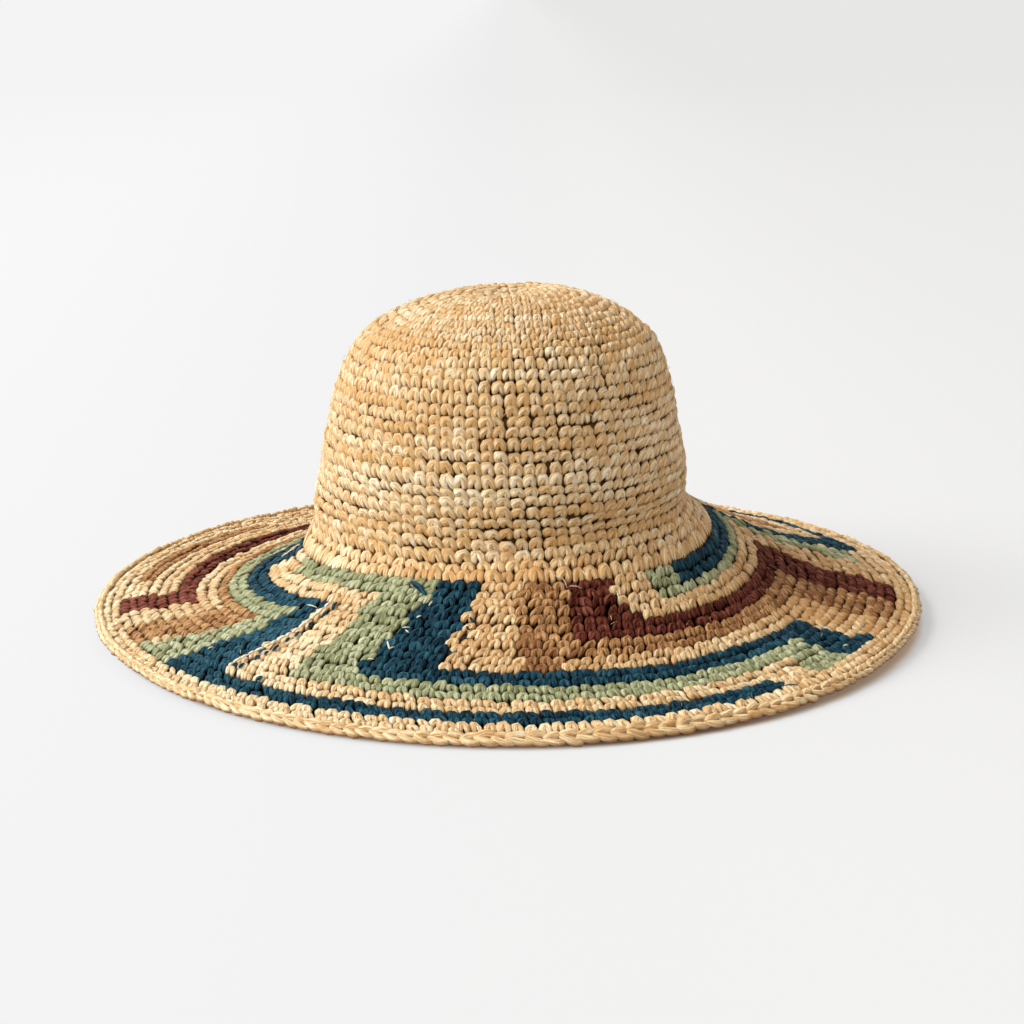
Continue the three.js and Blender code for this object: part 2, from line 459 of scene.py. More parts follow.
# %% [markdown]
# ## The brim's rounds and its chart
# The brim has 22 rounds. Two are plain, nineteen hold the fret and the border, and a
# plain one carries the braided edge. A chart says which yarn each stitch takes, as it
# does for anyone who crochets such a brim. A picture laid over the brim could colour it
# too, but its steps would cut through the stitches. The chart is written as blocks: a
# yarn, the first and last round, and the azimuths of the block's left and right side at
# its first and its last round. A band of the fret is three blocks: a leg down from the
# crown, a stretch along the rounds and a leg out to the edge. A later block covers an
# earlier one, and whatever no block covers is natural straw. The back, which the photo
# hides, continues the same bands.

# %% The chart
FIRST_ROUND, LAST_ROUND = -2, 19
NATURAL, TAN, BROWN, GREEN, NAVY = YARNS = ("natural", "tan", "brown", "green", "navy")
CHART = [
    # The left: brown, tan, green and navy bands that come round from the back
    (BROWN, 11, 12, (-218, -218), (-71, -71)),
    (BROWN, 13, 18, (-79, -80), (-71, -73)),
    (BROWN, 0, 10, (-218, -218), (-208, -208)),
    (TAN, 8, 8, (-205, -205), (-53, -53)),
    (TAN, 9, 18, (-63, -66), (-52, -60)),
    (TAN, 16, 17, (-130, -130), (-88, -88)),
    (GREEN, 6, 7, (-202, -202), (-45.5, -46)),
    (GREEN, 0, 5, (-202, -202), (-192, -192)),
    (GREEN, 8, 18, (-51.5, -59), (-46, -50)),
    (NAVY, 4, 5, (-192, -192), (-39.2, -39.2)),
    (NAVY, 0, 3, (-192, -192), (-182, -182)),
    (NAVY, 0, 3, (-95, -95), (-78, -84)),
    (NAVY, 6, 16, (-45.5, -50.5), (-39.8, -41.9)),
    (NAVY, 17, 18, (-51, -51), (38, 40)),
    # The front: green and navy from the left of the crown round to the right
    (GREEN, 0, 1, (-67, -66), (-17.5, -18)),
    (GREEN, 2, 12, (-29.5, -32), (-18, -23)),
    (GREEN, 13, 14, (-32, -32.5), (53, 53)),
    (GREEN, 15, 18, (46, 46), (53, 54)),
    (NAVY, 0, 10, (-17.5, -22), (-6, -11.5)),
    (NAVY, 11, 12, (-22.5, -23), (60, 60)),
    (NAVY, 13, 14, (53, 53), (60, 60)),
    (NAVY, 15, 18, (53, 54), (60, 60.5)),
    (NAVY, 17, 18, (60.5, 60.5), (62.5, 62.5)),
    # The front: tan and brown
    (TAN, 0, 6, (2, 1), (14.5, 12)),
    (TAN, 7, 8, (1, 1), (84, 83)),
    (TAN, 9, 10, (2, 2), (9, 9)),
    (TAN, 9, 15, (72.5, 69.5), (84, 81)),
    (TAN, 16, 18, (70, 72), (81, 81)),
    (BROWN, 0, 4, (14.5, 12.5), (25.5, 25.5)),
    (BROWN, 4, 4, (25, 25), (28, 28)),
    (BROWN, 5, 6, (12, 11.5), (98, 98)),
    (BROWN, 7, 11, (84, 81), (97, 92)),
    (BROWN, 12, 18, (80, 79), (91, 87.5)),
    # The right: green and navy that run on to the back
    (GREEN, 0, 1, (36.5, 36.5), (47, 47)),
    (GREEN, 2, 2, (36.5, 36.5), (110.5, 110.5)),
    (GREEN, 3, 10, (105.5, 103.5), (110.5, 110)),
    (GREEN, 11, 16, (103, 97), (110, 105)),
    (NAVY, 0, 1, (47, 47), (114, 114)),
    (NAVY, 2, 10, (110.5, 110), (114, 114)),
    (NAVY, 11, 16, (109.5, 105.5), (114, 114)),
    (NAVY, 17, 18, (105, 105), (195, 195)),
    (TAN, 5, 14, (118, 118), (142, 142)),
]
print("the chart has", len(CHART), "blocks")


# %% Read the chart
def charted(azimuth, number):
    """The index of the yarn that each stitch of a round takes."""
    yarn = np.zeros(len(azimuth), int)
    for colour, first, last, left, right in CHART:
        if first <= number <= last:
            share = (number - first) / max(last - first, 1)
            start, end = mixed(left, share), mixed(right, share)
            yarn[(azimuth - start) % 360 < end - start] = YARNS.index(colour)
    return yarn


# The rounds of the fret shrink a little outwards, in mm. Three others have their own place.
FRET_START = 13.6
FRET_ROUND = 5.7
FRET_SHRINKING = 0.028
OTHER_STARTS = {FIRST_ROUND: 0.0, FIRST_ROUND + 1: 5.6, LAST_ROUND + 1: 118.6}


def round_edge(number):
    """How far out of the throat a round begins, in parts of the brim's width."""
    fret = FRET_START + FRET_ROUND * number - FRET_SHRINKING * number**2
    return OTHER_STARTS.get(number, fret) / BRIM_UNIT


# The count of stitches in a round grows with the way down
BRIM_WAYS = (1.0, 1.07, 1.21, 1.35, 1.49, 1.63, 1.77, 1.91, 2.0)
BRIM_COUNTS = (87, 96, 118, 137, 155, 178, 201, 216, 224)


def brim_count(way):
    """How many stitches a round of the brim has."""
    return round(np.interp(way, BRIM_WAYS, BRIM_COUNTS))


def facing(azimuth, centre, reach):
    """1 towards an azimuth and 0 beyond a reach from it, with a soft change between."""
    return np.exp(-(((azimuth - centre + 180) % 360 - 180) / reach) ** 4)


print("the brim's first round has", brim_count(1), "stitches, its last", brim_count(2))

# %% Where the brim's stitches go
ROUND_DRIFT = 0.14
DRAWN_IN_FROM = 16.5
BOLD_CHAIN = (-7, 46)


def brim_round(places, number, out, height, degrees):
    """The stitches of a round at these azimuths, moved out by some mm."""
    way = 1 + (round_edge(number) + round_edge(number + 1)) / 2
    # The last rounds are pulled tighter at the front
    drawn_in = max(0, number - DRAWN_IN_FROM) * facing(places, 15, 48)
    return {
        "azimuth": places,
        "way": way + (out - drawn_in) / BRIM_UNIT,
        "degrees": np.full(len(places), degrees),
        "height": np.full(len(places), height),
        "yarn": charted(places, number),
    }


brim_rounds = []
for number in range(FIRST_ROUND, LAST_ROUND + 1):
    start, end = round_edge(number), round_edge(number + 1)
    count = brim_count(1 + (start + end) / 2)
    azimuth = -180 + 360 * (np.arange(count) + 0.5 + ROUND_DRIFT * number) / count
    height = (end - start) * BRIM_UNIT
    # The last round is single behind the bold links of the chain, and double elsewhere
    single = (number < LAST_ROUND) | (azimuth > BOLD_CHAIN[0]) & (azimuth < BOLD_CHAIN[1])
    brim_rounds.append(brim_round(azimuth[single], number, 0, height, 360 / count))
    if number == LAST_ROUND:
        brim_rounds.append(brim_round(azimuth[~single], number, -1.3, height / 1.6, 360 / count))
        brim_rounds.append(brim_round(azimuth[~single] + 0.7, number, 2.6, height / 1.5, 360 / count))
brim_stitches = {key: np.concatenate([r[key] for r in brim_rounds]) for key in brim_rounds[0]}
for index, yarn in enumerate(YARNS):
    print("the brim has", (brim_stitches["yarn"] == index).sum(), yarn, "stitches")

# %% [markdown]
# ## Hands make uneven stitches
# A real hand pulls one stitch tight and leaves the next one loose. So each copy gets its
# own mix of the four forms, its own size, lean and place, and the rows rise and fall a
# little in long waves. Here and there two stitches stand apart, and a dark hole opens.
# Noise textures could shift the stitches too, but numbers drawn for each copy also know
# where it is: on the left the stitches are fuller, and on the crown they are more even.

# %% Holes, and patches of lighter and darker tone: dye, painted light and painted shade
# A hole has an azimuth, a way down and, in mm, how far it pushes its neighbours aside
CROWN_HOLES = [
    (19.8, 0.706, 1.2), (0.3, 0.612, 1.1), (20.4, 0.576, 1.0), (27.8, 0.64, 1.0),
    (10.5, 0.732, 0.9), (33.2, 0.552, 0.9), (8.3, 0.618, 0.8), (24.2, 0.77, 0.9),
    (43.4, 0.584, 0.9), (-31.4, 0.668, 0.8), (36.5, 0.577, 0.7), (15.5, 0.8, 0.8),
    (35.3, 0.486, 0.7), (-6.1, 0.514, 0.7), (16.2, 0.642, 0.7), (29.2, 0.92, 0.7),
    (11, 0.93, 0.7), (20.3, 0.955, 0.7),
]
BRIM_HOLES = [
    (-6.8, 1.324, 1.0), (-7.2, 1.368, 0.9), (-7.5, 1.424, 0.8), (-9.5, 1.504, 1.2),
    (-5.8, 1.522, 0.8), (-27, 1.346, 0.9), (-20.8, 1.322, 0.8), (18, 1.4, 0.7),
    (14, 1.47, 0.8), (-40.5, 1.816, 0.8), (-40, 1.772, 1.1), (-39, 1.716, 1.2),
    (-38.8, 1.624, 1.1), (-38.5, 1.564, 1.1), (-38, 1.522, 1.2), (-37.8, 1.456, 1.2),
    (-37.8, 1.412, 0.9), (-37.8, 1.356, 1.0), (-37.5, 1.314, 1.2),
]
# Patches of tone: a yarn, an azimuth, a way down, a reach in mm and a change of tone.
# Some are dye that took unevenly. The raised natural, navy, green and brown ones at
# azimuths -33 to -80 are painted light on the side the lamp lights, and the lowered
# natural and tan ones at azimuth 78 and the natural one at the throat are painted shade.
DYE_AND_PAINTED_LIGHT_PATCHES = [
    (TAN, 6, 1.24, 17, 0.1), (TAN, 8, 1.12, 7, -0.7), (TAN, 2, 1.47, 11, -0.4),
    (TAN, 12, 1.38, 8, -0.3), (TAN, -62, 1.66, 22, 0.25), (TAN, -54, 1.55, 14, -0.1),
    (NATURAL, -72, 1.6, 34, -0.1), (TAN, 78, 1.6, 40, -0.3), (NATURAL, 78, 1.65, 45, -1.2),
    (TAN, 35, 1.45, 30, -0.15), (GREEN, -24, 1.25, 18, -0.12), (NATURAL, -33, 1.6, 30, 0.45),
    (NATURAL, -46, 1.95, 50, 0.3), (NATURAL, -58, 1.15, 30, 0.3), (NATURAL, 5, 1.03, 75, -0.35),
    (NAVY, -48, 1.6, 40, 0.45), (BROWN, -78, 1.7, 60, 0.55), (GREEN, -52, 1.6, 30, 0.3),
    (NATURAL, -80, 1.95, 60, 0.4),
]
print(len(CROWN_HOLES) + len(BRIM_HOLES), "holes and", len(DYE_AND_PAINTED_LIGHT_PATCHES), "patches of dye")

# %% Values that differ from stitch to stitch
rng = np.random.default_rng(20)
# How much of each form a stitch has: on the crown, on the brim, and on the left of both
CROWN_MIX = (0.5, 1.6, 1.2, 0.2)
BRIM_MIX = (0.5, 1.5, 0.7, 1.0)
LEFT_MIX = (1.6, 0.2, 0.5, 1.5)
MIX_EVENNESS = 0.7


def slow_noise(count, spacing):
    """Values from about -1 to 1 that change slowly from one stitch to the next."""
    knots = rng.normal(0, 0.5, count // spacing + 3)
    return np.interp(np.arange(count) / spacing, np.arange(len(knots)), knots)


def leftness(azimuth):
    """1 on the hat's left, and 0 on its right and at the back, with soft changes between."""
    return np.clip((5 - azimuth) / 45, 0, 1) * np.clip((azimuth + 140) / 40, 0, 1)


def mixed_forms(azimuth, forms):
    """Each stitch's corners, in its own random mix of the four forms."""
    shares = mixed((np.array(forms), np.array(LEFT_MIX)), leftness(azimuth)[:, None])
    weights = rng.gamma(shares * MIX_EVENNESS)
    weights /= weights.sum(1, keepdims=True)
    return np.einsum("cf,fvk->cvk", weights, stitch_forms)


def slant(azimuth, way):
    """How far the stitches slant, from 0 to 1: on the left of the crown, and along the border."""
    down_crown = np.clip((way - 0.4) * 2.5, 0.4, 1) * (way < 1.1)
    border = np.clip((way - 1.55) * 5, 0, 1) * (np.abs(azimuth - 5) < 75)
    return np.clip(0.6 - azimuth / 50, 0, 1) * down_crown + 0.8 * border


def row_waves(azimuth, way):
    """How far the rows rise and fall, in mm: a long wave and a short one."""
    long_wave = 0.4 * np.sin(np.radians(azimuth * 5) + way * 31)
    return long_wave + 0.32 * np.sin(np.radians(azimuth * 11) - way * 47)


waves = row_waves(azimuths, np.full(len(azimuths), 0.8))
print("the rows wave between", waves.min().round(2), "and", waves.max().round(2), "mm")

# %% Shape each stitch in its own frame
STITCH_DEPTH = -0.95
# A stitch's top is pressed flat above this height, to this share of its own
PRESSED_FROM = 0.8
PRESSED = 0.62
# The brim beyond its first round is worked a little more loosely
LOOSER_FROM = 1.08
LOOSER = 0.05


def shaped_stitches(azimuth, way, degrees, height, forms, unevenness):
    """Every stitch's corners in mm in its own frame, and each corner's lift from 0 to 1."""

    def uneven(middle, spread):
        """A value for each stitch, spread wider by an uneven hand."""
        return rng.normal(middle, spread * unevenness, len(azimuth))

    local = mixed_forms(azimuth, forms)
    full = leftness(azimuth) * (way < 1)
    # The lift, which sets where shade is painted, grows outwards, and a little towards the stitch's top. On
    # the crown's left it is raised, as painted light: less shade on the side the lamp lights.
    lift = np.clip((local[..., 2] + 1.0) / 4.4 + (local[..., 1] + 2.5) / 18, 0, 1) + 0.2 * full[:, None]
    loose = LOOSER * (way > LOOSER_FROM)
    width = np.radians(degrees) * radius_at(azimuth, way)
    wide = width / STITCH_WIDTH * (uneven(1.03, 0.05) + 0.12 * full - loose)
    tall = height / STITCH_HEIGHT * (uneven(1.02, 0.05) + 0.06 * full - loose)
    lean = unevenness * rng.normal(0.07, 0.12, len(azimuth)) - 0.42 * slant(azimuth, way)
    tilt = uneven(0.12 * (np.abs(way - 1.3) < 0.28), 0.11)
    sideways = local[..., 0] * wide[:, None] + local[..., 1] * lean[:, None]
    upward = local[..., 1] * tall[:, None] + local[..., 0] * tilt[:, None]
    pressed = np.minimum(local[..., 2], PRESSED_FROM + (local[..., 2] - PRESSED_FROM) * PRESSED)
    outward = pressed * uneven(0.95, 0.07)[:, None]
    sideways += uneven(0, 0.25)[:, None]
    upward += (row_waves(azimuth, way) + uneven(0, 0.22))[:, None]
    outward += (STITCH_DEPTH + uneven(0, 0.16))[:, None]
    return np.stack([sideways, upward, outward], -1), lift


# %% Open the holes, and lay the stitches on the straw
HOLE_REACH = 5.2


def closeness(azimuth, way, centre_azimuth, centre_way, reach):
    """How far each stitch is from a place, in mm across and along, and how close from 0 to 1."""
    turned = np.radians((azimuth - centre_azimuth + 180) % 360 - 180)
    across = turned * float(radius_at(centre_azimuth, centre_way))
    along = (way - centre_way) * (CROWN_UNIT if centre_way < 1 else BRIM_UNIT)
    return across, along, np.exp(-(across**2 + 1.4 * along**2) / reach**2)


def opened(local, azimuth, way, holes):
    """Stitches beside a hole move away from it."""
    for hole_azimuth, hole_way, push in holes:
        across, along, near = closeness(azimuth, way, hole_azimuth, hole_way, HOLE_REACH)
        local[..., 0] += (0.85 * push * near * np.sign(across))[:, None]
        local[..., 1] -= (0.45 * push * near * np.sign(along))[:, None]
    return local


def laid(local, azimuth, way):
    """Corners in their stitches' own frames, bent onto the straw, in mm."""
    radius = np.maximum(radius_at(azimuth, way), 2.5)[:, None]
    turned = azimuth[:, None] + np.degrees(local[..., 0] / radius)
    return on_straw(turned, moved_up(azimuth, way[:, None], local[..., 1]), local[..., 2])


def stitched(name, azimuth, way, degrees, height, tone):
    """A piece of cloth: the stitches at these places, joined."""
    on_crown = way.max() < 1
    forms, unevenness, holes = (CROWN_MIX, 1.0, CROWN_HOLES) if on_crown else (BRIM_MIX, 1.35, BRIM_HOLES)
    local, lift = shaped_stitches(azimuth, way, degrees, height, forms, unevenness)
    corners = laid(opened(local, azimuth, way, holes), azimuth, way)
    count, each = corners.shape[:2]
    places = on_strand(each, STITCH_SIDES, 1.7, 1.5, 2.1)
    # Each stitch is cut from another bit of yarn, so its fibres start elsewhere
    shift = np.stack([rng.uniform(0, span, count) for span in (40, 40, 200)], -1)
    return joined(name, corners, stitch_faces, {
        "strand": places[None] + shift[:, None],
        "tone": same_for_each(tone, each),
        "lift": lift,
    })


# %% The crown's stitches
azimuth, way, degrees, height = crown_stitches
tone = 0.5 + 0.22 * slow_noise(len(azimuth), 9)
tone += 0.2 * slow_noise(len(azimuth), 60)
tone += rng.normal(0, 0.12, len(azimuth))
# Two patches at the shoulders, left and right, are of browner yarn
for patch_azimuth, patch_way, reach in ((-45, 0.45, 45), (50, 0.35, 40)):
    tone -= 0.3 * closeness(azimuth, way, patch_azimuth, patch_way, reach)[2]
# The crown is two pieces, so that neither has too many triangles
upper = way < 0.56
crown_values = (azimuth, way, degrees, height, tone)
crown_top = stitched("crown_top_stitches", *(values[upper] for values in crown_values))
crown_side = stitched("crown_side_stitches", *(values[~upper] for values in crown_values))

# %% The brim's stitches, a piece for each yarn
brim_pieces = {}
azimuth, way = brim_stitches["azimuth"], brim_stitches["way"]
brim_tone = 0.5 + rng.normal(0, 0.16, len(azimuth))
brim_tone += 0.2 * slow_noise(len(azimuth), 7) + 0.1 * np.clip((way - 1.6) * 4, 0, 1)
# Uneven dye, with painted light on the left and painted shade on the right and at the throat
for yarn, patch_azimuth, patch_way, reach, change in DYE_AND_PAINTED_LIGHT_PATCHES:
    near = closeness(azimuth, way, patch_azimuth, patch_way, reach)[2]
    brim_tone += np.where(brim_stitches["yarn"] == YARNS.index(yarn), change * near, 0)
for index, yarn in enumerate(YARNS):
    mine = brim_stitches["yarn"] == index
    values = [brim_stitches[key][mine] for key in ("azimuth", "way", "degrees", "height")]
    brim_pieces[yarn] = stitched(f"brim_{yarn}_stitches", *values, brim_tone[mine])

# %% [markdown]
# ## The braided edge
# The last round is a slip-stitch chain, thicker than the rest. Each of its links is a fat
# loop of two strands: they start together inside the link before, swell, leave a slit
# between them and part round the start of the next link. Seen from the side it looks
# like a braid of long slanted drops. A third strand runs in shadow below them. An Array
# modifier on a curve would make all links alike, but here the chain is bold at the front
# right and finer elsewhere, where there is room for one more round. So each link is a
# copy with its own length and thickness.

# %% One link of the chain, in mm: along the edge, outwards and up
LINK_LENGTH = 7.6
LIMB_SIDES = 6
OUTER_LIMB = [
    (-5.6, 0.2, 0.9), (-3.7, 0.7, 0.4), (-1.3, 1.2, -0.4),
    (1.3, 1.4, -1.1), (3.6, 1.1, -1.2), (5.5, 0.2, -0.2),
]
OUTER_WIDTHS = [1.9, 3.1, 3.9, 4.3, 3.8, 1.8]
UPPER_LIMB = [
    (-5.6, -0.3, 1.1), (-3.7, -1.0, 1.4), (-1.4, -1.7, 1.6),
    (1.2, -2.0, 1.6), (3.5, -1.8, 1.3), (5.2, -1.0, 0.5),
]
UPPER_WIDTHS = [1.9, 3.3, 4.2, 4.2, 3.5, 1.7]
UNDER_LIMB = [
    (-5.6, -0.8, -0.4), (-3.8, -0.6, -1.4), (-1.4, -0.4, -2.0),
    (1.4, -0.4, -2.0), (3.9, -0.6, -1.4), (5.6, -0.8, -0.4),
]
UNDER_WIDTHS = [1.5, 2.3, 2.6, 2.6, 2.3, 1.5]

limbs = ((OUTER_LIMB, OUTER_WIDTHS), (UPPER_LIMB, UPPER_WIDTHS), (UNDER_LIMB, UNDER_WIDTHS))
limb_models = [taken_off(strand("link", path, widths, LIMB_SIDES)) for path, widths in limbs]
link_corners = np.concatenate([corners for corners, _ in limb_models])
limb_size = len(limb_models[0][0])
limb_faces = limb_models[0][1]
link_faces = [[corner + k * limb_size for corner in face] for k in range(len(limbs)) for face in limb_faces]
print("one link has", len(link_corners), "corners and", len(link_faces), "faces")


# %% Where the links go
def boldness(azimuth, front, right):
    """The sum of one value for the front of the chain and one for its front right."""
    return front * facing(azimuth, -2, 46) + right * facing(azimuth, 22, 32)


SLIM_PITCH = 4.0
edge_steps = np.linalg.norm(np.diff(surface[:, -1], axis=0), axis=1)
pitch = SLIM_PITCH + boldness(azimuths, 1.9, 1.4)
passed = np.concatenate([[0], np.cumsum(edge_steps * 2 / (pitch[1:] + pitch[:-1]))])
links = round(passed[-1])
link_azimuth = np.interp(np.arange(links) / links * passed[-1], passed, azimuths)
link_length = np.interp(link_azimuth, azimuths, pitch)
bold = boldness(link_azimuth, 0.45, 0.55)[:, None]
print(links, "links, from", link_length.min().round(1), "to", link_length.max().round(1), "mm long")


# %% The chain round the edge
def laid_on_edge(local, azimuth):
    """Corners along the rolled edge: local is along it, outwards and up, in mm."""
    radius = radius_at(azimuth, np.full(len(azimuth), 2.0))[:, None]
    turned = azimuth[:, None] + np.degrees(local[..., 0] / radius)
    centre = looked_up(surface, turned, np.full(turned.shape, 2.0))
    angle = np.radians(turned)
    outward = np.stack([np.sin(angle), -np.cos(angle), 0 * angle], -1)
    return centre + outward * local[..., 1:2] + local[..., 2:3] * np.array([0, 0, 1])


def uneven_links(spread):
    """One random value for each link."""
    return rng.normal(0, spread, (links, 1))


link_local = link_corners[None] * rng.normal(1, 0.07, (links, 1, 3))
# Low corners of a link get a low lift, which paints shade on the chain's underside and on the strand below
# it
link_lift = np.clip((link_local[..., 2] + 2.4) / 3.4, 0.05, 0.85)
link_local[..., 0] *= (link_length / LINK_LENGTH)[:, None]
link_local[..., 1:] *= (0.64 + 0.34 * bold)[..., None]
# No link lies quite straight along the edge
link_local[..., 1] += uneven_links(0.25) + uneven_links(0.07) * link_local[..., 0]
link_local[..., 2] += uneven_links(0.15) + uneven_links(0.06) * link_local[..., 0]
link_local[..., 1] -= 0.7 + 1.3 * bold
link_local[..., 2] += 0.5 + 0.2 * bold
link_places = on_strand(len(link_corners), LIMB_SIDES, 1.4, 1.4, 2.0)
link_strands = link_places[None] + rng.uniform(0, 60, (links, 1, 3))
# The links on the left are lighter: painted light on the side the lamp lights
link_tone = 0.47 + 0.2 * slow_noise(links, 4) + 0.3 * facing(link_azimuth, -62, 50)
edge_chain = joined("edge_chain", laid_on_edge(link_local, link_azimuth), link_faces, {
    "strand": link_strands,
    "tone": same_for_each(link_tone, len(link_corners)),
    "lift": link_lift,
})

# %% [markdown]
# ## Loose straws
# No raffia is tidy for long. Where a colour is carried behind the work, slivers of the
# other yarn peep out between the stitches. The left natural block has more of it: along
# its slanting side a pale yarn is drawn through the edge as a line of loops, and dashes
# of navy show below it. Ends of straw poke out where a yarn was changed, and the whole
# cloth has a fuzz of fine split fibres. A hair system could grow the fuzz, but not lay a
# line. So all of them are one straight strand, modelled once and laid from one place on
# the straw to another.

# %% One straight straw
STRAW_SIDES = 5
STRAW_WIDTHS = [0.5, 0.9, 1.0, 0.85, 0.4]
straight = [(0, k / (len(STRAW_WIDTHS) - 1), 0) for k in range(len(STRAW_WIDTHS))]
loose_corners, loose_faces = taken_off(strand("straw", straight, STRAW_WIDTHS, STRAW_SIDES))
STRAW_FLATNESS = 0.7
print("one straw has", len(loose_corners), "corners and", len(loose_faces), "faces")


def laid_straws(straws, depth):
    """Corners of the straws in mm. They lie at a depth and bow out in the middle."""
    start_azimuth, start_way, end_azimuth, end_way, width, bow = np.array(straws).T[..., None]
    along = loose_corners[:, 1]
    radius = radius_at(start_azimuth, start_way)
    across = np.radians(end_azimuth - start_azimuth) * radius
    down = (end_way - start_way) * BRIM_UNIT
    length = np.hypot(across, down)
    sideways = loose_corners[:, 0] * width
    azimuth = start_azimuth + (end_azimuth - start_azimuth) * along
    way = start_way + (end_way - start_way) * along
    turned = azimuth + np.degrees(sideways * down / length / radius)
    moved = way - sideways * across / length / BRIM_UNIT
    out = depth + bow * np.sin(math.pi * along) + loose_corners[:, 2] * width * STRAW_FLATNESS
    return on_straw(turned, moved, out)


def loose_piece(name, straws, depth, tone):
    """Loose straws joined into one piece."""
    places = np.concatenate([loose_corners[:, [0, 2]] * 1.5, loose_corners[:, [1]] * 8], 1)
    size = (len(straws), len(loose_corners))
    return joined(name, laid_straws(straws, depth), loose_faces, {
        "strand": places[None] + rng.uniform(0, 60, (len(straws), 1, 3)),
        "tone": np.full(size, tone),
        "lift": np.full(size, 0.85),
    })


# %% The drawn line, and the ends and slivers of yarn
# The line's points, from near the edge up to the throat: azimuth and way down
DRAWN_LINE = [
    (-40.8, 1.814), (-40.9, 1.79), (-40.7, 1.754), (-40.4, 1.725), (-40.2, 1.695),
    (-39.6, 1.66), (-39.4, 1.628), (-39.2, 1.602), (-38.8, 1.564), (-38.5, 1.534),
    (-38.4, 1.5), (-38.2, 1.466), (-38.2, 1.432), (-38.1, 1.395), (-38.0, 1.355),
    (-38.1, 1.323), (-38.8, 1.282),
]
LINE_WIDTH, LINE_BOW = 1.7, 0.3
drawn_loops = [(*start, *end, LINE_WIDTH, LINE_BOW) for start, end in zip(DRAWN_LINE, DRAWN_LINE[1:])]
# Each has the azimuth and way of its two ends, its width and how far it bows out, in mm
PALE_STRAWS = [
    (-43, 1.36, -39.8, 1.364, 0.7, 0.4), (-47.5, 1.772, -47.2, 1.75, 0.9, 0.3),
    (-16.3, 1.276, -16, 1.25, 0.8, 0.1), (-17.7, 1.348, -16.9, 1.334, 0.9, 0.1),
    (-19.4, 1.41, -18, 1.404, 0.8, 0.2), (-18.6, 1.42, -17.7, 1.434, 0.8, 0.1),
    (-20.6, 1.494, -19.5, 1.536, 0.9, 0.2), (-19.6, 1.536, -18.9, 1.518, 0.8, 0.1),
    (-21.8, 1.606, -20.9, 1.603, 0.8, 0.1), (12.8, 1.105, 13.4, 1.165, 0.5, 1.0),
    (14, 1.155, 17, 1.17, 0.5, 0.8), (11, 1.1, 12.9, 1.12, 0.5, 0.8),
    (18.8, 1.08, 18.9, 1.108, 0.5, 0.5), (3.2, 1.15, 4, 1.11, 0.6, 0.4),
    (25.3, 1.195, 24.4, 1.255, 0.6, 0.5), (55.2, 1.852, 55.9, 1.862, 1.0, 0.3),
]
NAVY_STRAWS = [
    # A thick end on the green, and one at the end of the border
    (-23.4, 1.136, -18.2, 1.21, 3.2, 0.9), (37.5, 1.886, 40.5, 1.916, 0.9, 0.2),
    # The dashes below the drawn line
    (-39.6, 1.795, -39.7, 1.766, 1.8, 0.5), (-38.9, 1.731, -39.2, 1.702, 1.8, 0.5),
    (-38.5, 1.688, -38.6, 1.665, 1.5, 0.5), (-38.1, 1.656, -38.4, 1.614, 1.8, 0.5),
    (-38.1, 1.584, -38.0, 1.561, 1.5, 0.5), (-37.7, 1.542, -37.9, 1.511, 1.7, 0.5),
    (-37.3, 1.472, -37.7, 1.443, 1.7, 0.5), (-36.9, 1.407, -37.2, 1.36, 1.7, 0.5),
    (-36.4, 1.35, -37.3, 1.304, 1.8, 0.5), (-35.1, 1.834, -34.9, 1.805, 2.2, 0.4),
    # Yarn seen deep in the holes right of the navy block
    (-7.6, 1.318, -6.4, 1.33, 1.7, -1.2), (-7.9, 1.366, -6.9, 1.375, 1.4, -1.4),
    (-8.1, 1.42, -7.2, 1.43, 1.5, -1.3), (-9.9, 1.5, -9, 1.512, 1.8, -1.3),
]
pale_straws = loose_piece("carried_straws", drawn_loops + PALE_STRAWS, 2.7, 1.4)
navy_straws = loose_piece("navy_straw_ends", NAVY_STRAWS, 1.6, 0.6)

# %% The fuzz of split fibres
FUZZ = 240
ON_CROWN = 0.55
start_azimuth = rng.uniform(-180, 180, FUZZ)
on_crown = rng.random(FUZZ) < ON_CROWN
start_way = np.where(on_crown, rng.uniform(0.2, 1.0, FUZZ), rng.uniform(1.0, 1.94, FUZZ))
heading = rng.uniform(0, 2 * math.pi, FUZZ)
length = rng.uniform(1.5, 5.0, FUZZ)
radius = np.maximum(radius_at(start_azimuth, start_way), 20)
end_azimuth = start_azimuth + np.degrees(length * np.cos(heading) / radius)
end_way = start_way + length * np.sin(heading) / STRAW_UNIT
width, bow = rng.uniform(0.18, 0.34, FUZZ), rng.uniform(0.2, 1.2, FUZZ)
fuzz_straws = np.stack([start_azimuth, start_way, end_azimuth, end_way, width, bow], 1)
fuzz = loose_piece("straw_fuzz", fuzz_straws, 1.2, 0.7)

# %% [markdown]
# ## The inside
# Behind the arches the cloth is closed: the back of each stitch is a low bar that lies
# along the row. From outside it is only the dark seen through a hole, and from below it
# is the whole underside. Stitches could be modelled there too, but they would double the
# hat's triangles for a side that is flat. So it is one sheet: a grid is wrapped over the
# map, raised into a ridge for every row, and given a thickness by a Solidify modifier.


# %% Wrap a grid over the straw
GRID_ROWS = 3
SHEET_DEPTH = -1.4
RIDGE = 0.3


